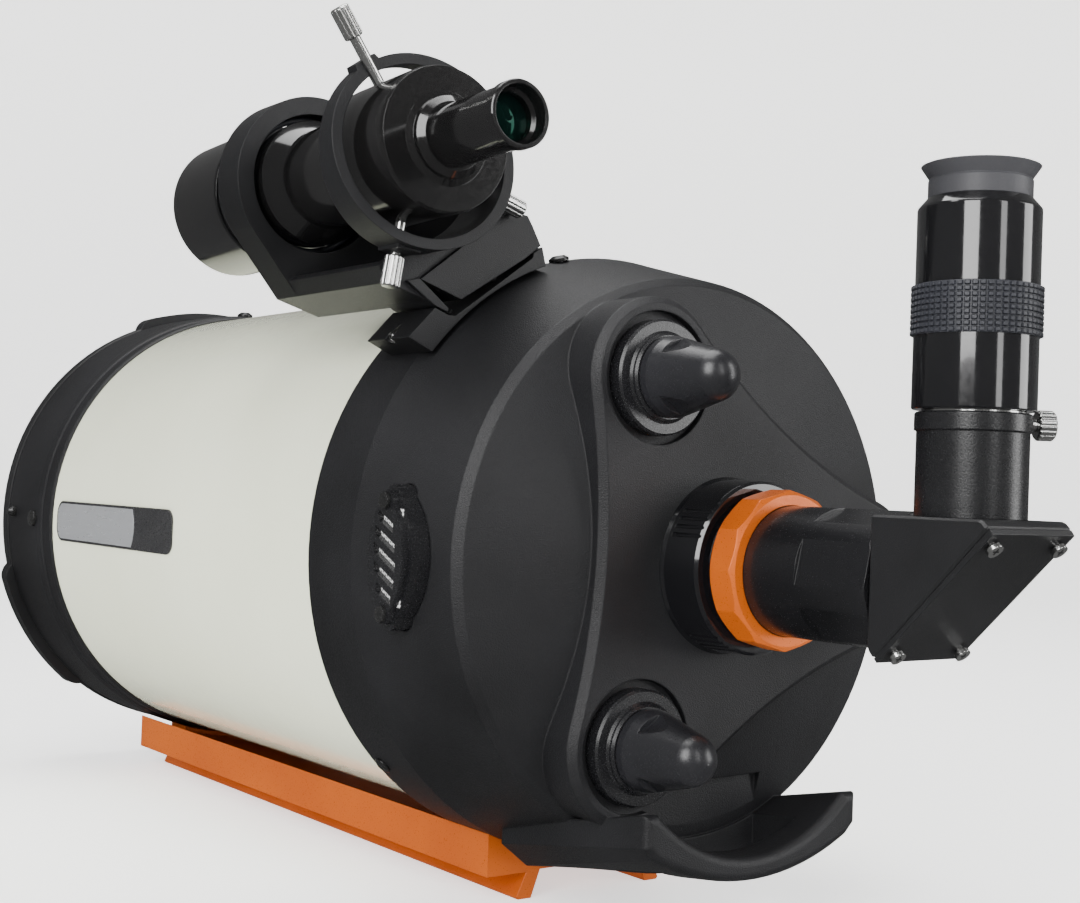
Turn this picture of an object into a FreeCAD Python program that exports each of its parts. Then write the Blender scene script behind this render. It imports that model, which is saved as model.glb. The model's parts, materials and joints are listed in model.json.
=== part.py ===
import FreeCAD, Part
import Sketcher
import math
import os

# Eight-inch Schmidt-Cassegrain telescope, in millimetres.
# +Y runs forward along the tube to the sky, +X is right seen from behind, +Z is up.
# The origin is at the middle of the dovetail's feet; the optical axis is axis_height above it.

DIMENSIONS = {
    "axis_height": 133.8,
    # main tube
    "tube_radius": 113.0, "tube_wall": 1.5, "tube_rear_y": -160.0, "tube_front_y": 170.0,
    # rear cell
    "cell_radius": 118.2, "crease_radius": 117.4, "rim_radius": 106.5, "cell_wall": 5.0,
    "cell_front_y": -139.4, "crease_y": -174.5, "rim_y": -220.0, "hub_y": -236.6, "plateau_y": -239.6,
    "knob_circle": 75.0, "boss_radius": 29.0, "side_arc_radius": 249.0,
    # front cell
    "ring_radius": 116.2, "ring_lip_radius": 114.5, "ring_rear_y": 143.8, "ring_front_y": 203.0,
    "seat_y": 186.0, "aperture_radius": 101.6, "corrector_radius": 105.0,
    # dovetail
    "bar_length": 333.5, "bar_half_width": 50.2, "foot_half_width": 36.0, "foot_height": 10.2,
    "bar_side_top": 26.7,
    # handle
    "handle_rear_y": -260.0, "handle_front_y": -182.0, "handle_half_width": 51.0,
    # rear port and visual back
    "port_radius": 31.5, "port_end_y": -257.5, "stub_radius": 25.2, "stub_end_y": -266.0,
    "coupling_radius": 28.3, "coupling_front_y": -260.5, "coupling_rear_y": -272.0,
    "back_radius": 22.8, "hex_start_y": -296.0, "back_end_y": -325.7, "back_flat": 21.4,
    "barrel_radius": 15.875, "barrel_bore": 15.95,
    # star diagonal and eyepiece
    "diagonal_half_width": 20.6, "diagonal_front_y": -326.0, "eyepiece_y": -348.5,
    "diagonal_top": 21.4, "holder_radius": 17.25, "collar_radius": 18.0, "holder_top": 54.0,
    # knobs
    "lock_knob_length": 31.0, "lock_knob_radius": 14.3, "lock_collar_radius": 20.6,
    # finder
    "finder_distance": 177.7, "finder_tilt": -36.4, "finder_droop": -1.9, "pivot_y": -101.5,
    "rear_ring_radius": 35.4, "rear_ring_bore": 31.4, "front_ring_radius": 34.0, "front_ring_bore": 27.1,
    "front_ring_distance": 176.4,
    "bracket_rear_y": -190.7, "rear_ring_front_y": -177.6, "bracket_front_y": -93.0, "cradle_bottom": 128.5,
    "shoe_rear_y": -180.0, "shoe_length": 29.0,
    # optics
    "mirror_radius": 103.0, "mirror_edge": 16.0, "mirror_back_y": -178.0, "mirror_curve": 812.8,
    "baffle_radius": 19.0, "baffle_front_y": 20.0,
}

KNOB_ANGLES = {"upper": 118.0, "lower": 238.0, "focus": -2.0}
# Each adjusting screw: angle from outward, y, and how far its tip, neck and end are from the ring's centre.
ADJUSTERS = {"top": (0.0, -184.3, 27.5, 45.0, 56.5), "left": (135.0, -182.0, 24.95, 37.4, 48.8),
             "right": (-143.0, -184.3, 24.75, 37.5, 49.2)}
# Each trim screw: angle round the optical axis, y, head radius and head height.
CELL_SCREWS = ((104.7, -171.0, 4.0, 2.2), (223.5, -146.0, 3.6, 1.3), (316.5, -146.0, 3.6, 1.3),
               (43.5, -146.0, 3.6, 1.3))
RING_SCREWS = ((180.0, 163.5, 4.2, 2.6), (90.0, 163.5, 4.2, 2.6), (0.0, 163.5, 4.2, 2.6),
               (178.7, 193.0, 2.9, 4.2))
BAR_SCREWS = [(x, y) for x in (-18.0, 18.0) for y in (-154.0, 158.0)]
SHOE_SCREWS = [(x, y) for x in (-12.0, 12.0) for y in (-172.0, -159.0)]


doc = FreeCAD.newDocument("schmidt_cassegrain_telescope")
sheet = doc.addObject("Spreadsheet::Sheet", "Dims")
pieces = []


def write_sheet():
    """Puts every driving dimension in the sheet under its own name."""
    for row, (alias, value) in enumerate(DIMENSIONS.items(), start=1):
        sheet.set("A%d" % row, alias.replace("_", " "))
        sheet.set("B%d" % row, "%g" % value)
        sheet.setAlias("B%d" % row, alias)
    doc.recompute()


def size(coordinate):
    """A coordinate as a number: a plain number, a dimension's name, or (name, offset)."""
    if isinstance(coordinate, str):
        return DIMENSIONS[coordinate]
    if isinstance(coordinate, tuple):
        return DIMENSIONS[coordinate[0]] + coordinate[1]
    return coordinate


def formula(coordinate):
    """The sheet expression behind a coordinate, or None for a plain number."""
    if isinstance(coordinate, str):
        return "Dims." + coordinate
    if isinstance(coordinate, tuple):
        return "Dims.%s + (%g)" % coordinate
    return None


def polar(radius, degrees, level=0.0):
    """A point at an angle round the Y axis; 0 is +X and 90 is +Z."""
    angle = math.radians(degrees)
    return FreeCAD.Vector(radius * math.cos(angle), level, radius * math.sin(angle))


def about(axis, degrees):
    return FreeCAD.Rotation(FreeCAD.Vector(*axis), degrees)


class Piece:
    """One named sub-part: a body whose features are added in order."""

    def __init__(self, label, base=(0, 0, "axis_height"), turn=None):
        self.body = doc.addObject("PartDesign::Body", label)
        self.body.Label = label
        self.label = label
        self.features = 0
        self.body.Placement = FreeCAD.Placement(
            FreeCAD.Vector(*[size(value) for value in base]), turn or FreeCAD.Rotation())
        for axis, value in zip("xyz", base):
            if formula(value):
                self.body.setExpression("Placement.Base." + axis, formula(value))
        pieces.append(self.body)

    def name(self, kind):
        self.features += 1
        return "%s_%s_%d" % (self.label, kind, self.features)

    def origin(self, role):
        return [item for item in self.body.Origin.OriginFeatures if item.Role == role][0]

    def sketch(self, plane, level=0.0):
        """A sketch on an origin plane, moved along that plane's normal axis to a level."""
        sketch = self.body.newObject("Sketcher::SketchObject", self.name("sketch"))
        sketch.AttachmentSupport = (self.origin(plane + "_Plane"), [""])
        sketch.MapMode = "FlatFace"
        sign = -1.0 if plane == "XZ" else 1.0
        sketch.AttachmentOffset = FreeCAD.Placement(
            FreeCAD.Vector(0, 0, sign * size(level)), FreeCAD.Rotation())
        if formula(level):
            sketch.setExpression("AttachmentOffset.Base.z", "%g * (%s)" % (sign, formula(level)))
        return sketch

    def outline(self, sketch, steps):
        """Closes a loop through the steps; a step is a corner, or ("arc", middle, corner)."""
        ends = [step[2] if step[0] == "arc" else step for step in steps]
        joins = []
        for index, step in enumerate(steps):
            start = FreeCAD.Vector(size(ends[index - 1][0]), size(ends[index - 1][1]), 0)
            end = FreeCAD.Vector(size(ends[index][0]), size(ends[index][1]), 0)
            if step[0] == "arc":
                middle = FreeCAD.Vector(size(step[1][0]), size(step[1][1]), 0)
                edge = sketch.addGeometry(Part.Arc(start, middle, end))
            else:
                edge = sketch.addGeometry(Part.LineSegment(start, end))
            forward = sketch.getPoint(edge, 2).distanceToPoint(end) < 1e-6
            joins.append((edge, 1, 2) if forward else (edge, 2, 1))
        for index, (edge, _, tail) in enumerate(joins):
            after, head, _ = joins[(index + 1) % len(joins)]
            sketch.addConstraint(Sketcher.Constraint("Coincident", edge, tail, after, head))
        for corner, (edge, _, tail) in zip(ends, joins):
            self.pin(sketch, edge, tail, corner)

    def pin(self, sketch, edge, end, point):
        """Ties a point's two coordinates to numbers or to the sheet."""
        for kind, value in (("DistanceX", point[0]), ("DistanceY", point[1])):
            row = sketch.addConstraint(Sketcher.Constraint(kind, -1, 1, edge, end, size(value)))
            if formula(value):
                sketch.setExpression("Constraints[%d]" % row, formula(value))

    def circle(self, sketch, radius, centre=(0.0, 0.0)):
        middle = FreeCAD.Vector(size(centre[0]), size(centre[1]), 0)
        ring = sketch.addGeometry(Part.Circle(middle, FreeCAD.Vector(0, 0, 1), size(radius)))
        row = sketch.addConstraint(Sketcher.Constraint("Radius", ring, size(radius)))
        if formula(radius):
            sketch.setExpression("Constraints[%d]" % row, formula(radius))
        self.pin(sketch, ring, 3, centre)

    def feature(self, kind, sketch):
        item = self.body.newObject("PartDesign::" + kind, self.name(kind.lower()))
        item.Profile = sketch
        sketch.Visibility = False
        return item

    def turn(self, steps, kind="Revolution"):
        """Turns a half profile of (radius, y) corners about the body's own Y axis."""
        sketch = self.sketch("XY")
        self.outline(sketch, steps)
        item = self.feature(kind, sketch)
        item.ReferenceAxis = (sketch, ["V_Axis"])
        item.Angle = 360
        return item

    def groove(self, steps):
        return self.turn(steps, "Groove")

    def extrude(self, kind, plane, start, length, steps=None, circles=()):
        """Pads or pockets from a level along the plane's own axis, towards plus for a plus length."""
        sketch = self.sketch(plane, start)
        if steps:
            self.outline(sketch, steps)
        for radius, centre in circles:
            self.circle(sketch, radius, centre)
        item = self.feature(kind, sketch)
        backwards = (plane == "XZ") == (size(length) > 0)
        item.Reversed = backwards if kind == "Pad" else not backwards
        item.Length = abs(size(length))
        return item

    def pad(self, plane, start, length, steps=None, circles=()):
        return self.extrude("Pad", plane, start, length, steps, circles)

    def pocket(self, plane, start, length, steps=None, circles=()):
        return self.extrude("Pocket", plane, start, length, steps, circles)

    def spoke(self, steps, y, degrees):
        """Turns a profile of (reach, radius) corners about a line pointing outwards from the Y axis."""
        sketch = self.sketch("XY")
        sketch.AttachmentOffset = FreeCAD.Placement(
            FreeCAD.Vector(0, y, 0), FreeCAD.Rotation(FreeCAD.Vector(0, 1, 0), -degrees))
        self.outline(sketch, steps)
        item = self.feature("Revolution", sketch)
        item.ReferenceAxis = (sketch, ["H_Axis"])
        item.Angle = 360
        return item

    def cross_hole(self, radius, y, degrees, reach, centre=0.0):
        """Drills outwards from a line along Y at height centre, in the direction of an angle round it."""
        sketch = self.sketch("YZ")
        sketch.AttachmentOffset = FreeCAD.Placement(
            FreeCAD.Vector(0, size(centre), 0), FreeCAD.Rotation(FreeCAD.Vector(1, 0, 0), -degrees))
        self.circle(sketch, radius, (y, 0.0))
        hole = self.feature("Pocket", sketch)
        hole.Reversed = True
        hole.Length = reach
        return hole

    def upright_holes(self, radius, spots, degrees, reach):
        """Drills side by side from the body's XY plane, turned about Y by an angle."""
        sketch = self.sketch("XY")
        sketch.AttachmentOffset = FreeCAD.Placement(
            FreeCAD.Vector(), FreeCAD.Rotation(FreeCAD.Vector(0, 1, 0), degrees))
        for spot in spots:
            self.circle(sketch, radius, spot)
        hole = self.feature("Pocket", sketch)
        hole.Reversed = True
        hole.Length = reach

    def slant_holes(self, radius, spots, start, degrees, reach):
        """Drills forward and up from a plane through (y, z), tipped over about the X direction."""
        sketch = self.sketch("XZ")
        tipped = FreeCAD.Rotation(FreeCAD.Vector(1, 0, 0), degrees)
        back = tipped.multVec(FreeCAD.Vector(0, 0, reach))
        sketch.AttachmentOffset = FreeCAD.Placement(FreeCAD.Vector(0, start[1], -start[0]) + back, tipped)
        for spot in spots:
            self.circle(sketch, radius, spot)
        self.feature("Pocket", sketch).Length = 2 * reach

    def repeat(self, features, count):
        """Repeats features evenly round the body's own Y axis."""
        doc.recompute()
        pattern = self.body.newObject("PartDesign::PolarPattern", self.name("pattern"))
        pattern.Originals = features
        pattern.Axis = (self.origin("Y_Axis"), [""])
        pattern.Angle = 360.0
        pattern.Occurrences = count
        self.body.Tip = pattern

    def dress(self, kind, amount, wanted):
        """Rounds or bevels the edges that the test picks out."""
        doc.recompute()
        last = self.body.Tip
        edges = ["Edge%d" % (index + 1) for index, edge in enumerate(last.Shape.Edges) if wanted(edge)]
        item = self.body.newObject("PartDesign::" + kind, self.name(kind.lower()))
        item.Base = (last, edges)
        if kind == "Fillet":
            item.Radius = amount
        else:
            item.Size = amount
        self.body.Tip = item


def ring_profile(inner, outer, low, high):
    return [(inner, low), (outer, low), (outer, high), (inner, high)]


def arc_to(centre, radius, start, end):
    """An arc step round a centre, from one angle to another."""
    middle = math.radians((start + end) / 2)
    last = math.radians(end)
    return ("arc", (centre[0] + radius * math.cos(middle), centre[1] + radius * math.sin(middle)),
            (centre[0] + radius * math.cos(last), centre[1] + radius * math.sin(last)))


def on_circle(centre, radius, degrees):
    angle = math.radians(degrees)
    return (centre[0] + radius * math.cos(angle), centre[1] + radius * math.sin(angle))


def dome(radius, edge, apex, inward=True):
    """An arc step of a ball centred on the axis, from its edge to its apex, or from apex to edge."""
    rise = apex - edge
    ball = (radius ** 2 + rise ** 2) / (2 * abs(rise))
    half = math.asin(radius / ball) / 2
    sign = math.copysign(1.0, rise)
    middle = (ball * math.sin(half), apex - sign * ball * (1 - math.cos(half)))
    return ("arc", middle, (0.0, apex) if inward else (radius, edge))


def facing(degrees):
    """Turns a piece's own +Y to point outwards at an angle round the optical axis."""
    return FreeCAD.Rotation(FreeCAD.Vector(0, 1, 0), polar(1.0, degrees))


# ---------------------------------------------------------------- tube and cells

def tube_shell():
    piece = Piece("tube_shell")
    piece.turn(ring_profile(("tube_radius", -1.5), "tube_radius", "tube_rear_y", "tube_front_y"))


def plateau_outline():
    """Three round bosses joined by hollow sides, as seen along the optical axis."""
    boss = DIMENSIONS["boss_radius"]
    side = DIMENSIONS["side_arc_radius"]
    circle = DIMENSIONS["knob_circle"]
    half = circle * math.sin(math.radians(60))
    lean = math.degrees(math.asin(half / (side + boss)))
    reach = circle / 2 + math.sqrt((side + boss) ** 2 - half ** 2)
    steps = []
    for index in range(3):
        outward = KNOB_ANGLES["focus"] + 120.0 * index
        between = outward + 60.0
        centre = on_circle((0, 0), circle, outward)
        hollow = on_circle((0, 0), reach, between)
        steps.append(arc_to(centre, boss, outward - 60.0 - lean, between + lean))
        steps.append(arc_to(hollow, side, between + 180.0 + lean, between + 180.0 - lean))
    return steps


def handle_section(half, top, corner, chin, outer, inner, rim):
    """The carry handle's U section: half width, top, corner, chin point, outer and inner depth, rim."""
    return [(-half, top), (-half, corner), (-chin[0], chin[1]), ("arc", (0, outer), chin),
            (half, corner), (half, top), (half - rim, top), ("arc", (0, inner), (-half + rim, top))]


def rear_cell():
    """One casting: skirt, cone, sculpted back with three bosses, and the carry handle."""
    piece = Piece("rear_cell")
    lock_centres = [on_circle((0, 0), size("knob_circle"), KNOB_ANGLES[key]) for key in ("upper", "lower")]
    focus_centre = on_circle((0, 0), size("knob_circle"), KNOB_ANGLES["focus"])
    piece.turn([
        (22.0, "hub_y"), (50.0, "hub_y"), (("rim_radius", -3.0), ("rim_y", -1.2)),
        ("rim_radius", ("rim_y", 1.8)), ("crease_radius", "crease_y"), ("cell_radius", ("crease_y", 3.0)),
        ("cell_radius", ("cell_front_y", -0.8)), (("cell_radius", -0.8), "cell_front_y"),
        (22.0, "cell_front_y")])
    piece.pad("XZ", "plateau_y", 20.0, plateau_outline())
    doc.recompute()
    plateau = size("plateau_y")
    piece.dress("Chamfer", 2.6, lambda edge: all(abs(v.Y - plateau) < 0.01 for v in edge.Vertexes))
    loft_handle(piece)
    piece.groove([
        (21.0, -222.0), (30.0, -222.0), (30.0, -229.0), (98.0, -214.0), (110.6, ("crease_y", -2.0)),
        (109.0, "tube_rear_y"), ("tube_radius", "tube_rear_y"), ("tube_radius", ("cell_front_y", 1.0)),
        (21.0, ("cell_front_y", 1.0))])
    piece.pocket("XZ", "plateau_y", 3.0, circles=[(23.8, centre) for centre in lock_centres])
    piece.pocket("XZ", "plateau_y", 40.0, circles=[(5.2, centre) for centre in lock_centres])
    piece.pocket("XZ", "plateau_y", 40.0, circles=[(9.0, focus_centre)])
    for side in (-1, 1):
        piece.pocket("YZ", side * 108.0, side * 14.0, lens_outline(-195.0, 0.0, 51.0, 28.0))
        piece.pocket("YZ", side * 100.0, side * 14.0, lens_outline(-195.0, 0.0, 40.0, 17.0))
    piece.pocket("XY", -80.0, -60.0, [(-34.0, -246.0), (34.0, -246.0), (34.0, -223.0), (-34.0, -223.0)])
    piece.pocket("XZ", "plateau_y", 24.0, circles=[(22.0, (0.0, 0.0))])
    for angle, y, _, _ in CELL_SCREWS:
        piece.cross_hole(1.9, y, angle, 130.0)
    piece.pocket("XY", -125.0, 30.0, circles=[(2.6, spot) for spot in BAR_SCREWS])
    piece.upright_holes(1.7, SHOE_SCREWS, size("finder_tilt"), 130.0)


def loft_handle(piece):
    """The handle deepens from its rear edge to where it joins the skirt."""
    rear = piece.sketch("XZ", "handle_rear_y")
    piece.outline(rear, handle_section(51.0, -82.5, -94.0, (47.0, -98.0), -110.0, -102.0, 6.0))
    front = piece.sketch("XZ", "handle_front_y")
    piece.outline(front, handle_section(55.0, -100.0, -107.0, (43.0, -116.5), -120.0, -103.0, 8.0))
    loft = piece.body.newObject("PartDesign::AdditiveLoft", piece.name("handle"))
    loft.Profile = rear
    loft.Sections = [front]
    loft.Ruled = True
    low = size("handle_rear_y")
    piece.dress("Fillet", 3.0, lambda edge: all(abs(v.Y - low) < 0.01 for v in edge.Vertexes)
                and edge.BoundBox.ZMin < -80.0)


def lens_outline(y, z, height, width):
    """A tall lens shape with rounded ends, centred at a point of the YZ plane."""
    end = 4.5
    low, high = z - height / 2 + end, z + height / 2 - end
    return [("arc", (y, low - end), (y + end, low)), ("arc", (y + width / 2, z), (y + end, high)),
            ("arc", (y, high + end), (y - end, high)), ("arc", (y - width / 2, z), (y - end, low))]


def front_cell():
    piece = Piece("front_cell")
    piece.turn([
        ("tube_radius", "ring_rear_y"), (("ring_lip_radius", -1.0), "ring_rear_y"),
        ("ring_lip_radius", ("ring_rear_y", 1.5)), ("ring_lip_radius", ("ring_rear_y", 11.0)),
        (("ring_lip_radius", 0.8), ("ring_rear_y", 12.2)), ("ring_radius", ("ring_rear_y", 16.0)),
        ("ring_radius", ("ring_front_y", -1.0)), (("ring_radius", -1.0), "ring_front_y"),
        (110.6, "ring_front_y"), (110.6, 191.0), (105.3, 191.0), (105.3, "seat_y"),
        ("aperture_radius", "seat_y"), ("aperture_radius", 182.0), (108.5, 174.0), (108.5, "tube_front_y"),
        ("tube_radius", "tube_front_y")])
    holes = [(1.6, on_circle((0, 0), 108.0, 22.5 + 45.0 * index)) for index in range(8)]
    piece.pocket("XZ", 191.0, -6.0, circles=holes)
    for angle, y, _, _ in RING_SCREWS:
        piece.cross_hole(1.9, y, angle, 130.0)
    piece.pocket("XY", -125.0, 30.0, circles=[(2.6, spot) for spot in BAR_SCREWS])


def corrector():
    plate = Piece("corrector_plate")
    plate.turn(ring_profile(20.0, "corrector_radius", "seat_y", 191.0))
    ring = Piece("corrector_ring")
    ring.turn([("aperture_radius", 191.0), (110.4, 191.0), (110.4, 193.5), (103.5, 193.5),
               ("aperture_radius", 192.6)])
    holes = [(1.7, on_circle((0, 0), 108.0, 22.5 + 45.0 * index)) for index in range(8)]
    ring.pocket("XZ", 193.5, -3.0, circles=holes)
    screws = Piece("corrector_ring_screws")
    shank = screws.pad("XZ", 186.5, 7.0, circles=[(1.6, on_circle((0, 0), 108.0, 22.5))])
    head = screws.pad("XZ", 193.5, 1.6, circles=[(2.2, on_circle((0, 0), 108.0, 22.5))])
    screws.repeat([shank, head], 8)


def secondary():
    holder = Piece("secondary_holder")
    holder.turn([
        (0.0, 180.0), (33.0, 180.0), (33.0, "seat_y"), (19.8, "seat_y"), (19.8, 191.0), (34.5, 191.0),
        (34.5, 193.0), (30.0, 199.5), (27.5, 199.5), (27.5, 197.0), (0.0, 197.0)])
    holder.turn([(0.0, 172.0), (30.0, 172.0), (30.0, 178.0), (8.0, 178.0), (5.0, 180.0), (0.0, 180.0)])
    spots = [on_circle((0, 0), 17.0, angle) for angle in (90.0, 210.0, 330.0)]
    holder.pocket("XZ", 197.5, -19.5, circles=[(2.0, spot) for spot in spots])
    mirror = Piece("secondary_mirror")
    mirror.turn([(0.0, 164.6), dome(29.0, 166.5, 164.6, inward=False), (29.0, 172.0), (0.0, 172.0)])
    baffle = Piece("secondary_baffle")
    baffle.turn([(32.6, 142.0), (33.8, 142.0), (34.4, 183.0), (34.4, "seat_y"), (33.1, "seat_y"),
                 (33.1, 180.0)])
    screws = Piece("collimation_screws")
    shaft = screws.pad("XZ", 178.0, 19.0, circles=[(1.9, on_circle((0, 0), 17.0, 90.0))])
    head = screws.pad("XZ", 197.0, 2.6, circles=[(3.6, on_circle((0, 0), 17.0, 90.0))])
    slot = screws.pocket("XZ", 199.6, -1.2, [(-3.7, 16.4), (3.7, 16.4), (3.7, 17.6), (-3.7, 17.6)])
    screws.repeat([shaft, head, slot], 3)


def baffle():
    tube = Piece("baffle_tube")
    tube.turn([
        (16.5, -229.0), (21.9, -229.0), (21.9, -222.0), (28.0, -222.0), (28.0, -219.0),
        ("baffle_radius", -219.0), ("baffle_radius", "baffle_front_y"),
        (("baffle_radius", -1.5), "baffle_front_y"),
        (("baffle_radius", -1.5), -150.0), (16.5, -150.0)])
    lenses = Piece("field_lenses")
    for low, high, bulge in ((-205.0, -199.0, -1.2), (-196.0, -190.0, 1.2)):
        lenses.turn([(0.0, low - bulge), dome(16.5, low, low - bulge, inward=False), (16.5, high),
                     dome(16.5, high, high + bulge)])


# ---------------------------------------------------------------- primary mirror

def primary():
    """The mirror on its carrier, which slides along the baffle tube and holds three arms."""
    back = size("mirror_back_y")
    edge = back + size("mirror_edge")
    sag = size("mirror_radius") ** 2 / (2 * size("mirror_curve"))
    mirror = Piece("primary_mirror")
    mirror.turn([
        (26.0, "mirror_back_y"), (70.0, "mirror_back_y"), ("mirror_radius", ("mirror_back_y", 5.0)),
        ("mirror_radius", edge), ("arc", (62.0, edge - sag * 0.64), (26.0, edge - sag * 0.94))])
    carrier = Piece("mirror_carrier", turn=about((0, 1, 0), -KNOB_ANGLES["focus"]))
    carrier.turn([
        (19.06, back - 30.0), (25.9, back - 30.0), (25.9, back - 5.0), (44.0, back - 5.0), (44.0, back),
        (25.9, back), (25.9, back + 11.0), (31.0, back + 11.0), (31.0, back + 15.0), (25.9, back + 15.0),
        (25.9, back + 25.0), (19.06, back + 25.0)])
    arm = carrier.pad("XZ", back - 28.0, 6.0, [(22.0, -9.0), (82.0, -9.0), (82.0, 9.0), (22.0, 9.0)])
    carrier.repeat([arm], 3)
    carrier.pocket("XZ", back - 29.0, 8.0, circles=[(3.06, ("knob_circle", 0.0))])
    lock_centres = [on_circle((0, 0), size("knob_circle"), angle) for angle in (120.0, 240.0)]
    carrier.pocket("XZ", back - 29.0, 8.0, circles=[(1.5, centre) for centre in lock_centres])
    rods = Piece("mirror_lock_rods", turn=about((0, 1, 0), -KNOB_ANGLES["focus"]))
    rods.pad("XZ", -256.0, back + 234.0, circles=[(1.5, centre) for centre in lock_centres])


# ---------------------------------------------------------------- dovetail

def dovetail():
    """A wide bar: a saddle hollowed to the cells' curve, standing on two splayed feet."""
    half = size("bar_half_width")
    saddle = size("cell_radius")
    bar = Piece("dovetail_bar")
    side_top = -math.sqrt(saddle ** 2 - half ** 2)
    foot = -size("axis_height")
    bar.pad("XZ", -166.6, "bar_length", [
        (-half, -123.6), (-31.5, -123.6), (-36.0, foot + 0.9), (-35.2, foot), (-29.0, foot), (-25.0, -123.0),
        (25.0, -123.0), (29.0, foot), (35.2, foot), (36.0, foot + 0.9), (31.5, -123.6), (half, -123.6),
        (half, side_top), ("arc", (0.0, -saddle), (-half, side_top))])
    bar.pocket("XY", -124.0, 14.0, circles=[(2.6, spot) for spot in BAR_SCREWS])
    bar.pocket("XY", -124.0, 3.4, circles=[(4.6, spot) for spot in BAR_SCREWS])
    screws = Piece("dovetail_screws")
    screws.pad("XY", -123.0, 2.4, circles=[(4.4, spot) for spot in BAR_SCREWS])
    screws.pad("XY", -122.0, 10.0, circles=[(2.5, spot) for spot in BAR_SCREWS])
    spacer = Piece("dovetail_spacer")
    inner = size("ring_radius")
    reach = 33.0
    angle = 270.0 - math.degrees(math.asin(reach / inner))
    outer_angle = 270.0 - math.degrees(math.asin(reach / saddle))
    spacer.pad("XZ", 148.0, 18.0, [
        on_circle((0, 0), saddle, outer_angle),
        arc_to((0, 0), saddle, outer_angle, 540.0 - outer_angle), on_circle((0, 0), inner, 540.0 - angle),
        arc_to((0, 0), inner, 540.0 - angle, angle)])
    spacer.pocket("XY", -125.0, 30.0, circles=[(2.6, spot) for spot in BAR_SCREWS])


# ---------------------------------------------------------------- trim on the tube

def badge():
    """A plain two-tone strip that follows the tube's left side."""
    piece = Piece("side_badge")
    half, outer = 10.0, size("tube_radius") + 0.9
    lean = math.degrees(math.asin(half / outer))
    inner = size("tube_radius")
    piece.pad("XZ", -6.0, 142.0, [
        on_circle((0, 0), inner, 180.0 + lean),
        arc_to((0, 0), inner, 180.0 + lean, 180.0 - lean), on_circle((0, 0), outer, 180.0 - lean),
        arc_to((0, 0), outer, 180.0 - lean, 180.0 + lean)])


def oblong(half_width, half_height):
    """The rectangle behind a vent's slots."""
    return [(-195.0 - half_width, -half_height), (-195.0 + half_width, -half_height),
            (-195.0 + half_width, half_height), (-195.0 - half_width, half_height)]


def vents():
    """Each side has a bezel with slanted slots over a mesh, held by two screws."""
    bezels = Piece("vent_bezels")
    meshes = Piece("vent_meshes")
    screws = Piece("vent_screws")
    holes = [(-195.0, z) for z in (-19.5, 19.5)]
    for side in (-1, 1):
        bezels.pad("YZ", side * 108.0, side * 8.0, lens_outline(-195.0, 0.0, 50.6, 27.6))
        bezels.pad("YZ", side * 116.0, side * 2.6, lens_outline(-195.0, 0.0, 46.0, 23.0))
        for index, half in enumerate((5.0, 6.6, 7.2, 6.6, 5.0)):
            middle, rise = 6.2 * (index - 2), 0.467 * half
            bezels.pocket("YZ", side * 107.0, side * 14.0,
                          [(-195.0 - half, middle - rise - 1.6), (-195.0 + half, middle + rise - 1.6),
                           (-195.0 + half, middle + rise + 1.6), (-195.0 - half, middle - rise + 1.6)])
        bezels.pocket("YZ", side * 107.0, side * 14.0, circles=[(1.6, hole) for hole in holes])
        bezels.pocket("YZ", side * 107.0, side * 9.3, oblong(7.7, 17.0))
        meshes.pad("YZ", side * 115.0, side * 1.2, oblong(7.6, 16.9))
        screws.pad("YZ", side * 108.1, side * 10.5, circles=[(1.55, hole) for hole in holes])
        screws.pad("YZ", side * 118.6, side * 1.4, circles=[(2.9, hole) for hole in holes])


def trim_screws():
    """Fixed screws whose heads stand out from the two cells."""
    for label, reach, screws in (("front_ring_screws", "ring_radius", RING_SCREWS),
                                 ("cell_screws", "cell_radius", CELL_SCREWS)):
        piece = Piece(label)
        tip = size(reach)
        for angle, y, head, height in screws:
            piece.spoke([(tip - 3.0, 0.0), (tip - 3.0, 1.8), (tip, 1.8), (tip, head),
                         (tip + height * 0.5, head), (tip + height, head * 0.6), (tip + height, 0.0)],
                        y, angle)


# ---------------------------------------------------------------- rear port, visual back, diagonal

def hexagon(flat):
    """A hexagon with a flat facing each sixth of a turn from +X."""
    return [on_circle((0, 0), flat / math.cos(math.radians(30)), 30.0 + 60.0 * index) for index in range(6)]


def thumbscrew(label, base, turn, tip, neck, head, shank=2.0, radius=3.5, flutes=12):
    """A knurled screw along its own +Y: tip, neck and head are distances from its base point."""
    screw = Piece(label, base=base, turn=turn)
    screw.turn([(0.0, tip), (shank, tip), (shank, neck), (radius - 0.6, neck), (radius, neck + 0.6),
                (radius, head - 0.6), (radius - 0.6, head), (0.0, head)])
    flute = screw.pocket("XZ", neck - 0.5, head - neck + 1.0, circles=[(0.5, (radius + 0.15, 0.0))])
    screw.repeat([flute], flutes)


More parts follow.
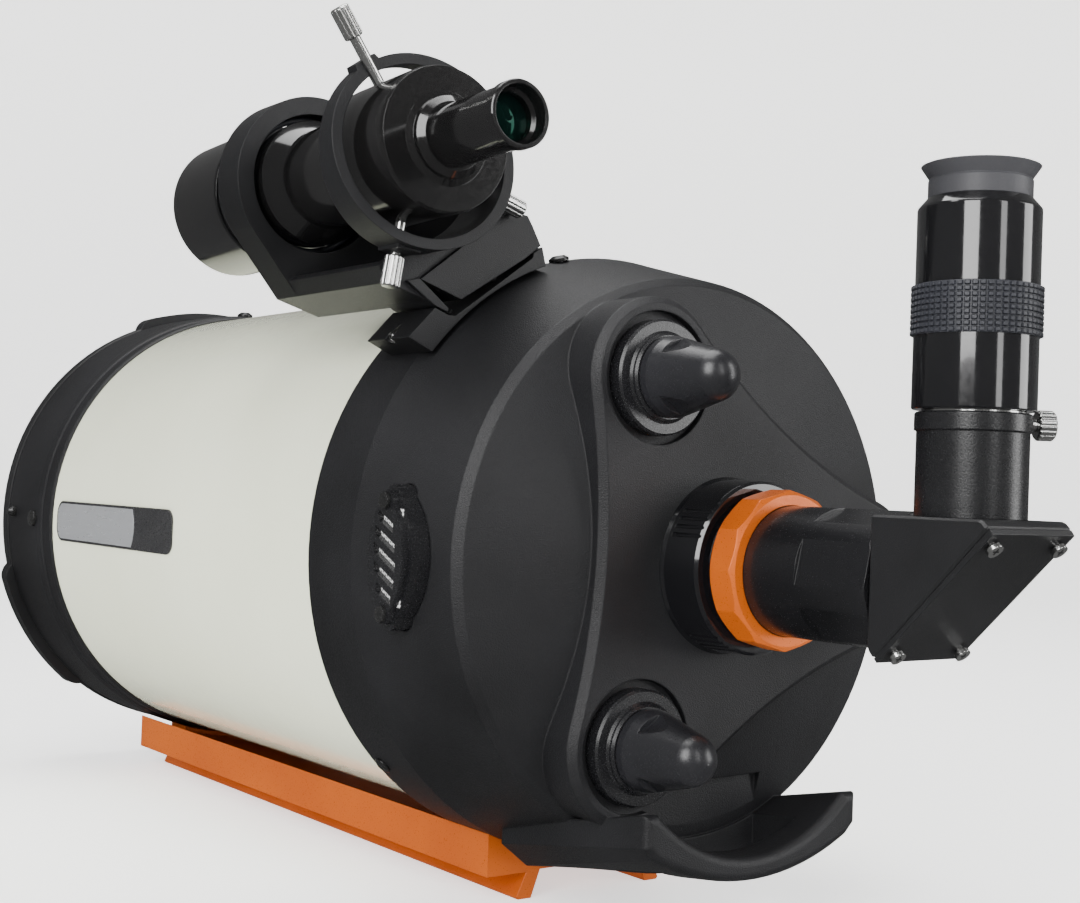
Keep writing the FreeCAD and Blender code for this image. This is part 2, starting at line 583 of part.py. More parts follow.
def rear_port():
    """The collar on the cell with its thread stub, the visual back and the ring that grips it."""
    port = Piece("rear_port_adapter")
    port.turn([
        (22.5, "plateau_y"), (("port_radius", 0.8), "plateau_y"), ("port_radius", ("plateau_y", -1.5)),
        (("port_radius", -0.4), ("port_end_y", 1.2)), (("port_radius", -1.4), "port_end_y"),
        ("stub_radius", "port_end_y"), ("stub_radius", "stub_end_y"), (22.5, "stub_end_y")])
    for middle in (60.0, 150.0, 240.0, 330.0):
        grooves = [(0.8, on_circle((0, 0), 31.5, middle + step)) for step in (-9.0, -3.0, 3.0, 9.0)]
        port.pocket("XZ", ("port_end_y", -1.0), 16.0, circles=grooves)
    back = Piece("visual_back", turn=about((0, 1, 0), 12.5))
    back.turn([
        ("barrel_bore", "back_end_y"), (("back_radius", -0.8), "back_end_y"),
        ("back_radius", ("back_end_y", 0.8)), ("back_radius", -267.8), (25.0, -267.8), (25.0, "stub_end_y"),
        (14.2, "stub_end_y"), (14.2, -289.0), ("barrel_bore", -289.0)])
    back.pocket("XZ", -327.0, 31.0, hexagon(size("back_flat")), circles=[(26.0, (0.0, 0.0))])
    back.cross_hole(2.05, -311.0, 0.0, 30.0)
    thumbscrew("visual_back_screw", (0, -311.0, "axis_height"), facing(-12.5), 16.1, 22.6, 32.0, radius=4.2)
    ring = Piece("coupling_ring")
    ring.turn([
        (25.3, "coupling_front_y"), (("coupling_radius", -0.9), "coupling_front_y"),
        ("coupling_radius", ("coupling_front_y", -0.9)), ("coupling_radius", ("coupling_rear_y", 1.6)),
        (("coupling_radius", -1.8), "coupling_rear_y"), (22.95, "coupling_rear_y"), (22.95, -268.0),
        (25.3, -268.0)])
    ring.pocket("XZ", -273.0, 13.0, [on_circle((0, 0), 28.35, 30.0 * index) for index in range(12)],
                circles=[(30.0, (0.0, 0.0))])


def diagonal():
    """The star diagonal: a housing open to the front and the top, folded by a mirror on its plate."""
    half = size("diagonal_half_width")
    corners = [(x, z) for x in (-15.6, 15.6) for z in (-25.0, 25.0)]
    housing = Piece("diagonal_housing")
    housing.pad("YZ", -half, 2 * half, [
        ("diagonal_front_y", "diagonal_top"), ("diagonal_front_y", -20.9), (-328.6, -23.7), (-371.3, 19.0),
        (-368.7, "diagonal_top")])
    doc.recompute()
    housing.dress("Chamfer", 0.8, lambda edge: all(abs(abs(v.X) - half) < 0.01 for v in edge.Vertexes))
    housing.pocket("XZ", -325.0, -24.0, circles=[(14.2, (0.0, 0.0))])
    housing.pocket("XY", 22.0, -26.0, circles=[(14.2, (0.0, "eyepiece_y"))])
    housing.pocket("YZ", -16.0, 32.0, [(-336.6, -22.0), (-328.6, -14.0), (-359.6, 17.0), (-369.6, 11.0)])
    housing.slant_holes(1.5, corners, (-351.0, -3.8), 45.0, 6.0)
    nose = Piece("diagonal_nose")
    nose.turn([(14.2, "diagonal_front_y"), ("barrel_radius", "diagonal_front_y"), ("barrel_radius", -305.0),
               (("barrel_radius", -0.6), -304.0), (("barrel_radius", -0.6), -299.0),
               ("barrel_radius", -298.0), ("barrel_radius", -292.6), (("barrel_radius", -0.6), -292.0),
               (14.2, -292.0)])
    plate = Piece("diagonal_plate")
    plate.pad("YZ", -half + 0.8, 2 * half - 1.6,
              [(-328.7, -23.7), (-329.8, -24.9), (-372.5, 17.2), (-371.3, 18.9)])
    plate.slant_holes(1.5, corners, (-351.0, -3.8), 45.0, 6.0)
    mirror = Piece("diagonal_mirror")
    mirror.pad("YZ", -15.0, 30.0, [(-338.3, -14.0), (-334.5, -14.0), (-360.5, 12.0), (-364.3, 12.0)])
    screws = Piece("diagonal_plate_screws", base=(0, -351.0, size("axis_height") - 3.8),
                   turn=about((1, 0, 0), 45.0))
    screws.pad("XZ", -1.4, 6.0, circles=[(1.4, corner) for corner in corners])
    screws.pad("XZ", -2.7, 1.6, circles=[(2.6, corner) for corner in corners])
    upright = about((0, 0, 1), -35.0).multiply(about((1, 0, 0), 90.0))
    holder = Piece("eyepiece_holder", base=(0, "eyepiece_y", "axis_height"), turn=upright)
    holder.turn([
        (14.2, 21.4), ("holder_radius", 21.4), ("holder_radius", 48.0), ("collar_radius", 48.4),
        ("collar_radius", ("holder_top", -0.5)), (("collar_radius", -0.5), "holder_top"),
        ("barrel_bore", "holder_top"), ("barrel_bore", 25.4), (14.2, 25.4)])
    holder.cross_hole(2.05, 51.0, 0.0, 25.0)
    way = FreeCAD.Vector(math.cos(math.radians(-35.0)), math.sin(math.radians(-35.0)), 0)
    thumbscrew("holder_screw", (0, "eyepiece_y", ("axis_height", 51.0)),
               FreeCAD.Rotation(FreeCAD.Vector(0, 1, 0), way), 16.1, 19.6, 25.2, radius=4.8, flutes=18)


def eyepiece():
    """A long-focus eyepiece standing in the holder: heights are above the optical axis."""
    base, turn = (0, "eyepiece_y", "axis_height"), about((1, 0, 0), 90.0)
    barrel = Piece("eyepiece_barrel", base, turn)
    barrel.turn([(14.4, 26.0), ("barrel_radius", 26.0), ("barrel_radius", 54.8), (14.4, 54.8)])
    body = Piece("eyepiece_body", base, turn)
    body.turn([
        (14.4, 54.8), (18.7, 54.8), (19.1, 55.2), (19.1, 77.7), (18.4, 77.7), (18.4, 93.5), (19.0, 93.5),
        (19.0, 117.3), (18.7, 117.9), (16.2, 120.8), (12.6, 120.8), (12.6, 70.0), (14.4, 68.0)])
    grip = Piece("eyepiece_grip", base, turn)
    steps = [(18.4, 77.7), (20.2, 77.7)]
    for index in range(9):
        low = 79.1 + 1.6 * index
        steps += [(20.2, low), (19.6, low + 0.2), (19.6, low + 0.4), (20.2, low + 0.6)]
    grip.turn(steps + [(20.2, 93.5), (18.4, 93.5)])
    cup = Piece("eyecup", base, turn)
    cup.turn([
        (12.7, 120.9), (16.0, 120.9), (16.0, 126.4), (15.6, 127.0), (17.9, 130.4), (18.3, 131.0),
        (17.6, 131.3), (14.4, 126.6), (12.7, 126.0)])
    lenses = Piece("eyepiece_lenses", base, turn)
    for outer, low, high in ((12.5, 113.0, 117.0), (14.3, 60.0, 65.0)):
        lenses.turn([(0.0, low - 1.0), dome(outer, low, low - 1.0, inward=False), (outer, high),
                     dome(outer, high, high + 1.0)])


# ---------------------------------------------------------------- knobs on the rear cell

def lock_knobs():
    """Two rubber knobs stand on collars let into their bosses; each grips a rod from the carrier."""
    length, radius = size("lock_knob_length"), size("lock_knob_radius")
    tip = -245.4 - length
    collars = Piece("mirror_lock_collars")
    for key in ("upper", "lower"):
        x, z = on_circle((0, 0), size("knob_circle"), KNOB_ANGLES[key])
        collars.pad("XZ", -236.6, -6.0, circles=[("lock_collar_radius", (x, z))])
        collars.pad("XZ", -242.6, -2.5, circles=[(15.6, (x, z))])
        collars.pad("XZ", -236.6, 2.6, circles=[(5.1, (x, z))])
        collars.pocket("XZ", -246.0, 13.0, circles=[(3.0, (x, z))])
        knob = Piece("mirror_lock_knob_" + key, (x, 0, ("axis_height", z)))
        knob.turn([
            (2.0, -245.4), ("lock_knob_radius", -245.4), ("lock_knob_radius", -248.4), (8.9, tip + 6.4),
            dome(8.9, tip + 6.4, tip), (0.0, -268.6), (2.0, -268.6)])
        scallop = knob.pocket("XZ", tip - 1.0, length - 6.0, circles=[(22.0, (radius + 18.9, 0.0))])
        knob.repeat([scallop], 3)
    collars.dress("Chamfer", 0.8, lambda edge: edge.BoundBox.YMax < -242.0)


def focuser():
    """The focus knob turns its screw in a bearing; the screw moves the carrier's arm."""
    x, z = on_circle((0, 0), size("knob_circle"), KNOB_ANGLES["focus"])
    base = (x, 0, ("axis_height", z))
    housing = Piece("focus_bearing_housing", base)
    housing.turn([
        (8.9, -224.0), (8.9, "plateau_y"), (21.0, "plateau_y"), (21.0, -242.0), (20.0, -242.8),
        (13.0, -242.8), (12.4, -248.6), (3.1, -248.6), (3.1, -224.0)])
    knob = Piece("focus_knob", base)
    knob.turn([
        (3.0, -249.0), (14.6, -249.0), (15.4, -251.0), (14.0, -275.0), (12.4, -277.0), (0.0, -277.0),
        (0.0, -274.0), (3.0, -274.0)])
    rib = knob.pocket("XZ", -278.0, 25.0, circles=[(1.3, (15.9, 0.0))])
    knob.repeat([rib], 20)
    screw = Piece("focus_screw", base)
    screw.turn(ring_profile(0.0, 3.0, -274.0, -188.5))


# ---------------------------------------------------------------- lens cover

def lens_cover():
    """A push-on cover with an inner skirt and three grip lobes."""
    cover = Piece("lens_cover")
    cover.turn([
        (0.0, 211.0), (107.0, 211.0), (107.0, 196.0), (109.6, 196.0), (110.0, 203.4), ("ring_radius", 203.4),
        (("ring_radius", 0.6), 204.4), (("ring_radius", 0.6), 210.6), (114.0, 213.6), (40.0, 214.6),
        (0.0, 214.6)])
    inner, outer, spread = 112.0, 120.6, 18.5
    for middle in (93.0, 213.0, 333.0):
        low, high = middle - spread, middle + spread
        cover.pad("XZ", 203.4, 9.0, [
            on_circle((0, 0), inner, low - 2.0),
            ("arc", on_circle((0, 0), outer - 2.2, low - 0.4), on_circle((0, 0), outer, low + 3.0)),
            arc_to((0, 0), outer, low + 3.0, high - 3.0),
            ("arc", on_circle((0, 0), outer - 2.2, high + 0.4), on_circle((0, 0), inner, high + 2.0))])


# ---------------------------------------------------------------- finder

def outward_point(y, distance):
    """A point on the finder's radial line: along the tube, and out from the optical axis."""
    turn = about((0, 1, 0), size("finder_tilt"))
    return turn.multVec(FreeCAD.Vector(0, y, distance)) + FreeCAD.Vector(0, 0, size("axis_height"))


def finder_shoe():
    """The shoe has a wedge for a left jaw and a low right lip; a set screw grips the bracket's leg."""
    base, turn = (0, 0, "axis_height"), about((0, 1, 0), size("finder_tilt"))
    foot = size("cell_radius") + 0.1
    left, right = -30.9, 30.8
    shoe = Piece("finder_shoe", base, turn)
    shoe.pad("XZ", "shoe_rear_y", "shoe_length", [
        (-36.5, 123.9), (-21.0, 126.8), (-17.6, 121.7), (-15.0, 119.8), (27.0, 119.8), (28.6, 121.0),
        (33.4, 121.0), (right, math.sqrt(foot ** 2 - right ** 2)),
        ("arc", (0.0, foot), (left, math.sqrt(foot ** 2 - left ** 2)))])
    shoe.pocket("XY", 122.5, -10.0, circles=[(1.7, spot) for spot in SHOE_SCREWS])
    shoe.pocket("YZ", -40.0, 24.0, circles=[(2.06, (-165.5, 123.2))])
    screws = Piece("finder_shoe_screws", base, turn)
    screws.pad("XY", 113.5, 7.2, circles=[(1.6, spot) for spot in SHOE_SCREWS])
    clamp = Piece("finder_clamp_screw", base, turn)
    clamp.pad("YZ", -34.8, 15.7, circles=[(2.0, (-165.5, 123.2))])
    clamp.pocket("YZ", -35.0, 2.6, circles=[(1.1, (-165.5, 123.2))])


def bracket_blocks(bracket):
    """The cradle, the two rings, and the foot and leg that stand in the shoe."""
    front, centre, hub = size("bracket_front_y"), size("finder_distance"), size("front_ring_distance")
    rear = size("rear_ring_front_y") - 0.5
    ring = size("front_ring_radius")
    bracket.pad("XZ", rear, front - rear, [
        (-20.0, "cradle_bottom"), (-32.0, 144.0), (-32.0, 151.0), (32.0, 151.0), (32.0, 144.0),
        (20.0, "cradle_bottom")])
    bracket.pad("XZ", ("bracket_front_y", -17.0), 17.0, [
        (-20.0, "cradle_bottom"), (-32.0, 144.0), (-ring, hub), ("arc", (0.0, hub + ring), (ring, hub)),
        (32.0, 144.0), (20.0, "cradle_bottom")])
    bracket.pad("XZ", "rear_ring_front_y", -21.6, circles=[("rear_ring_radius", (0.0, "finder_distance"))])
    bracket.pad("XZ", "shoe_rear_y", "shoe_length", [
        (-20.6, 138.6), (-9.5, 123.4), (24.1, 121.4), (33.0, 121.9), (33.8, 129.4), (34.0, 134.2),
        (27.6, 140.0)])
    bracket.pad("XZ", "shoe_rear_y", "shoe_length", [
        (-25.7, 141.0), (-20.6, 127.6), (-17.3, 122.8), (-16.0, 123.4), (-20.8, 139.0)])
    for angle, _, _, head, _ in ADJUSTERS.values():
        way, side = on_circle((0, 0), 1.0, 90.0 + angle), on_circle((0, 0), 1.0, 180.0 + angle)
        reach = min(head - 1.2, 37.0)
        bracket.pad("XZ", "rear_ring_front_y", -13.6, [
            (way[0] * out + side[0] * half, centre + way[1] * out + side[1] * half)
            for out, half in ((32.5, -5.8), (reach, -4.6), (reach, 4.6), (32.5, 5.8))])


def finder_bracket():
    """One casting, whose rear ring slants and leaves the scope's tail room to move."""
    bracket = Piece("finder_bracket", (0, 0, "axis_height"), about((0, 1, 0), size("finder_tilt")))
    bracket_blocks(bracket)
    centre, low, rise, slope = size("finder_distance"), 118.0, 104.0, 0.19
    foot = size("bracket_rear_y") - slope * (centre - low)
    bracket.pocket("YZ", -45.0, 90.0, [
        (-215.0, low), (foot, low), (foot + slope * rise, low + rise), (-215.0, low + rise)])
    bracket.pocket("XZ", ("rear_ring_front_y", 4.0), -27.0,
                   circles=[("rear_ring_bore", (0.0, "finder_distance"))])
    front_ring = size("bracket_front_y") - 17.0
    bracket.pocket("XZ", front_ring - 1.0, 19.0, circles=[("front_ring_bore", (0.0, "front_ring_distance"))])
    trough = front_ring - size("rear_ring_front_y") - 4.0
    bracket.pocket("XZ", ("rear_ring_front_y", 4.0), trough, [
        (-16.0, 132.6), (-28.4, 147.6), (-28.4, 152.0), (28.4, 152.0), (28.4, 147.6), (16.0, 132.6)])
    bracket.pocket("XZ", ("shoe_rear_y", -6.0), 35.0, [
        (-16.0, 120.0), (-16.0, 123.4), (-20.8, 139.0), (-20.6, 138.6), (-9.5, 123.4), (-9.5, 120.0)])
    for angle, y, _, _, _ in ADJUSTERS.values():
        bracket.cross_hole(2.06, y, 90.0 + angle, 45.0, "finder_distance")


def finder_screws():
    """Three adjusting screws reach through the rear ring to the finder's barrel."""
    for key, (angle, y, tip, head, end) in ADJUSTERS.items():
        spot = outward_point(y, size("finder_distance"))
        thumbscrew("finder_screw_" + key, (spot.x, y, spot.z), facing(90.0 - size("finder_tilt") + angle),
                   tip, head, end)


def finder_scope():
    """A straight-through nine-by-fifty finder, which pivots on the O-ring in the front ring."""
    pivot_y = size("pivot_y")
    pivot = outward_point(pivot_y, size("front_ring_distance"))
    upright = about((0, 1, 0), size("finder_tilt"))
    seal = Piece("finder_o_ring", (0, 0, "axis_height"), upright)
    ring = seal.sketch("XY", "front_ring_distance")
    seal.outline(ring, [(24.6, pivot_y - 0.9), ("arc", (25.8, pivot_y - 1.9), (27.0, pivot_y - 0.9)),
                        (27.0, pivot_y + 0.9), ("arc", (25.8, pivot_y + 1.9), (24.6, pivot_y + 0.9))])
    hoop = seal.feature("Revolution", ring)
    hoop.ReferenceAxis = (ring, ["V_Axis"])
    hoop.Angle = 360
    turn = upright.multiply(about((1, 0, 0), size("finder_droop")))
    start = pivot - turn.multVec(FreeCAD.Vector(0, pivot_y, 0))
    base = (start.x, start.y, start.z)
    tube = Piece("finder_tube", base, turn)
    tube.turn([
        (18.0, -202.0), (9.6, -203.0), (9.6, -211.6), (11.9, -211.6), (14.3, -209.6), (14.3, -207.6),
        (16.5, -206.2), (25.2, -206.2), (25.8, -204.6), (25.8, -166.0), (19.4, -166.0), (19.4, -120.0),
        (24.4, -112.0), (24.4, -92.0), (25.2, -84.0), (25.2, -76.0), (23.8, -76.0), (22.9, -112.0),
        (18.0, -121.0)])
    lock = Piece("finder_lock_ring", base, turn)
    lock.turn([(25.3, -83.4), (26.6, -83.4), (27.0, -82.8), (27.0, -77.6), (26.6, -77.0), (25.3, -77.0)])
    cell = Piece("finder_objective_cell", base, turn)
    cell.turn([
        (25.3, -76.6), (27.4, -76.6), (28.0, -75.8), (28.0, -34.8), (27.5, -33.8), (26.4, -33.8),
        (25.8, -54.0), (23.6, -54.0), (23.6, -58.0), (25.3, -60.0)])
    lenses = Piece("finder_lenses", base, turn)
    lenses.turn([(0.0, -56.4), dome(23.5, -54.4, -56.4, inward=False), (23.5, -53.9), (25.6, -53.9),
                 (25.6, -50.4), dome(25.6, -50.4, -47.6)])
    lenses.turn([(0.0, -243.6), dome(8.1, -242.4, -243.6, inward=False), (8.1, -239.4), (0.0, -239.4)])
    ocular = Piece("finder_eyepiece", base, turn)
    ocular.turn([
        (9.5, -205.0), (9.5, -211.8), (10.8, -211.8), (10.7, -246.4), (11.4, -247.4), (11.4, -250.6),
        (11.0, -251.0), (9.8, -251.0), (9.4, -246.0), (8.2, -245.0), (8.2, -205.0)])


# ---------------------------------------------------------------- build, check and write

write_sheet()
tube_shell()
rear_cell()
front_cell()
corrector()
secondary()
baffle()
primary()
dovetail()
badge()
vents()
trim_screws()
rear_port()
diagonal()
eyepiece()
lock_knobs()
focuser()
lens_cover()
finder_shoe()
finder_bracket()
finder_screws()
finder_scope()
doc.recompute()

for item in doc.Objects:
    if "Invalid" in item.State or "Error" in item.State:
        raise RuntimeError("%s did not build" % item.Name)
os.makedirs("parts", exist_ok=True)
for piece in pieces:
    if piece.Shape.isNull() or not piece.Shape.isValid():
        raise RuntimeError("%s has no valid shape" % piece.Label)
    piece.Shape.exportStep("parts/%s.step" % piece.Label)
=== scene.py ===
import json
import math

import bmesh
import bpy
from mathutils import Matrix, Quaternion, Vector


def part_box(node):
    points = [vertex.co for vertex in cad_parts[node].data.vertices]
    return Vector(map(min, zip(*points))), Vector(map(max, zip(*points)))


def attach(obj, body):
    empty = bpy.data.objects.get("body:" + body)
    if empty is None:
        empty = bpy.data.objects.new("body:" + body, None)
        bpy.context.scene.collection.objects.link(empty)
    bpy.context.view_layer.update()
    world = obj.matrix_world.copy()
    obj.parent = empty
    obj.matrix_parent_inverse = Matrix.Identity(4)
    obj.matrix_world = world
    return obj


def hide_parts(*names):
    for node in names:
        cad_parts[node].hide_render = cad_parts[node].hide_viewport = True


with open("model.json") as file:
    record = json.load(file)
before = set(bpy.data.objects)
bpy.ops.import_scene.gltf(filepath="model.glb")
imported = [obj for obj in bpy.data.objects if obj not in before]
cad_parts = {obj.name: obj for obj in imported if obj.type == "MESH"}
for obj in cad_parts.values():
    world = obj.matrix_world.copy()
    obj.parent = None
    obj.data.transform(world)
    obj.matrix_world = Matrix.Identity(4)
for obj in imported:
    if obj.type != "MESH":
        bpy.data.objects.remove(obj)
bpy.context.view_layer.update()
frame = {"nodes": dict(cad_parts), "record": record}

# The row frame: +Y runs forward along the tube, +X is right seen from behind, +Z is up, in metres.
MM = 0.001
TUBE_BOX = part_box("tube_shell")
AXIS_Z = (TUBE_BOX[0].z + TUBE_BOX[1].z) / 2


# ---------------------------------------------------------------- camera, stage and lights

CAMERA_AT = Vector((-0.40533, -0.66916, 0.15993))
CAMERA_YAW = 36.568
CAMERA_PITCH = 1.267
CAMERA_ROLL = 2.133
CAMERA_LENS = 53.447


def camera():
    """Stands behind and to the left of the tube, almost level with it."""
    yaw, pitch = math.radians(CAMERA_YAW), math.radians(CAMERA_PITCH)
    ahead = Vector((math.sin(yaw) * math.cos(pitch), math.cos(yaw) * math.cos(pitch), math.sin(pitch)))
    eye = bpy.data.objects.new("camera", bpy.data.cameras.new("camera"))
    eye.location = CAMERA_AT
    eye.rotation_mode = "QUATERNION"
    eye.rotation_quaternion = (ahead.to_track_quat("-Z", "Y")
                               @ Quaternion((0, 0, 1), math.radians(CAMERA_ROLL)))
    eye.data.lens = CAMERA_LENS
    eye.data.sensor_width = 36.0
    eye.data.sensor_fit = "HORIZONTAL"
    eye.data.clip_start = 0.01
    bpy.context.scene.collection.objects.link(eye)
    bpy.context.scene.camera = eye


def lathe(bm, profile, steps=96, closed=False):
    """Turns (radius, height) points about Z into faces; returns the rings of vertices."""
    rings = []
    for radius, height in profile:
        rings.append([bm.verts.new((radius * math.cos(2 * math.pi * i / steps),
                                    radius * math.sin(2 * math.pi * i / steps), height))
                      for i in range(steps)])
    pairs = list(zip(rings, rings[1:]))
    if closed:
        pairs.append((rings[-1], rings[0]))
    for low, high in pairs:
        for i in range(steps):
            j = (i + 1) % steps
            bm.faces.new((low[i], low[j], high[j], high[i]))
    return rings


def stage():
    """A pale floor that sweeps up into a round backdrop, out of sight of the gloss."""
    bm = bmesh.new()
    floor_radius, sweep, wall = 3.2, 1.6, 3.4
    profile = [(0.02, 0.0), (1.0, 0.0), (2.2, 0.0), (floor_radius, 0.0)]
    for index in range(1, 13):
        angle = math.pi / 2 * index / 12
        profile.append((floor_radius + sweep * math.sin(angle), sweep * (1 - math.cos(angle))))
    profile.append((floor_radius + sweep, wall))
    rings = lathe(bm, profile)
    bm.faces.new(rings[0])
    backdrop = mesh_object("backdrop", bm)
    backdrop.visible_glossy = False
    mat, nodes, links, shader = blank("backdrop_paper")
    shader.inputs["Base Color"].default_value = (0.93, 0.93, 0.92, 1)
    shader.inputs["Roughness"].default_value = 0.9
    shader.inputs["Emission Color"].default_value = (1, 1, 1, 1)
    shader.inputs["Emission Strength"].default_value = 1.05
    backdrop.data.materials.append(mat)


def area_light(name, at, target, width, height, power, tint=(1, 1, 1)):
    lamp = bpy.data.lights.new(name, "AREA")
    lamp.shape = "RECTANGLE"
    lamp.size, lamp.size_y = width, height
    lamp.energy = power
    lamp.color = tint
    item = bpy.data.objects.new(name, lamp)
    item.location = at
    item.rotation_mode = "QUATERNION"
    item.rotation_quaternion = (Vector(target) - Vector(at)).to_track_quat("-Z", "Y")
    bpy.context.scene.collection.objects.link(item)


def lights():
    centre = (0.0, -0.1, AXIS_Z)
    area_light("key_left", (-1.5, -1.0, 1.0), centre, 0.9, 1.4, 42)
    area_light("fill_right", (1.3, -1.5, 0.7), centre, 0.7, 1.5, 20)
    area_light("top", (-0.1, 0.1, 1.9), centre, 1.6, 1.2, 34)
    area_light("rear_strip", (-0.2, -2.0, 0.9), centre, 0.35, 1.4, 8)
    world = bpy.data.worlds.new("studio")
    bpy.context.scene.world = world
    world.use_nodes = True
    world.node_tree.nodes["Background"].inputs["Color"].default_value = (1, 1, 1, 1)
    world.node_tree.nodes["Background"].inputs["Strength"].default_value = 0.16


# ---------------------------------------------------------------- mesh and material helpers

def mesh_object(name, bm):
    """Finishes a bmesh as an object at the origin, shaded smooth."""
    bmesh.ops.recalc_face_normals(bm, faces=bm.faces)
    mesh = bpy.data.meshes.new(name)
    bm.to_mesh(mesh)
    bm.free()
    for face in mesh.polygons:
        face.use_smooth = True
    item = bpy.data.objects.new(name, mesh)
    bpy.context.scene.collection.objects.link(item)
    return item


def blank(name):
    mat = bpy.data.materials.new(name)
    mat.use_nodes = True
    nodes, links = mat.node_tree.nodes, mat.node_tree.links
    return mat, nodes, links, nodes["Principled BSDF"]


def noise(nodes, links, scale, detail=2.0, stretch=(1, 1, 1)):
    """Noise in the object's own metres; stretch squeezes it along an axis."""
    where = nodes.new("ShaderNodeTexCoord")
    mapping = nodes.new("ShaderNodeMapping")
    mapping.inputs["Scale"].default_value = stretch
    texture = nodes.new("ShaderNodeTexNoise")
    texture.inputs["Scale"].default_value = scale
    texture.inputs["Detail"].default_value = detail
    links.new(where.outputs["Object"], mapping.inputs["Vector"])
    links.new(mapping.outputs["Vector"], texture.inputs["Vector"])
    return texture.outputs["Fac"]


def span(nodes, links, value, low, high):
    """Maps the middle of a noise to a range."""
    ranged = nodes.new("ShaderNodeMapRange")
    ranged.inputs["From Min"].default_value = 0.3
    ranged.inputs["From Max"].default_value = 0.7
    ranged.inputs["To Min"].default_value = low
    ranged.inputs["To Max"].default_value = high
    links.new(value, ranged.inputs["Value"])
    return ranged.outputs["Result"]


def tint(nodes, links, value, dark, light):
    """Mixes two colours by a noise."""
    mix = nodes.new("ShaderNodeMix")
    mix.data_type = "RGBA"
    links.new(span(nodes, links, value, 0.0, 1.0), mix.inputs["Factor"])
    mix.inputs["A"].default_value = (*dark, 1)
    mix.inputs["B"].default_value = (*light, 1)
    return mix.outputs["Result"]


def bump(nodes, links, value, depth, shader, edge=0.0):
    """Puts a grain in relief over the shape, whose edges catch the light as if rounded by edge metres."""
    relief = nodes.new("ShaderNodeBump")
    relief.inputs["Distance"].default_value = depth
    links.new(value, relief.inputs["Height"])
    if edge:
        rounded = nodes.new("ShaderNodeBevel")
        rounded.samples = 6
        rounded.inputs["Radius"].default_value = edge
        links.new(rounded.outputs["Normal"], relief.inputs["Normal"])
    links.new(relief.outputs["Normal"], shader.inputs["Normal"])


def surface(name, dark, light, rough, grain, metallic=0.0, patch=18.0, gloss_coat=0.0, specular=0.5,
            coat_rough=0.05, stretch=(1, 1, 1), edge=0.0004):
    """A finish: two close colours in soft patches, roughness that wanders, and a fine grain in relief.
    rough is (low, high); grain is (scale per metre, depth in metres)."""
    mat, nodes, links, shader = blank(name)
    patches = noise(nodes, links, patch, 4.0, stretch)
    grit = noise(nodes, links, grain[0], 3.0, stretch)
    links.new(tint(nodes, links, patches, dark, light), shader.inputs["Base Color"])
    links.new(span(nodes, links, grit, *rough), shader.inputs["Roughness"])
    bump(nodes, links, grit, grain[1], shader, edge)
    shader.inputs["Metallic"].default_value = metallic
    shader.inputs["Specular IOR Level"].default_value = specular
    shader.inputs["Coat Weight"].default_value = gloss_coat
    shader.inputs["Coat Roughness"].default_value = coat_rough
    return mat


# ---------------------------------------------------------------- materials, one per finish

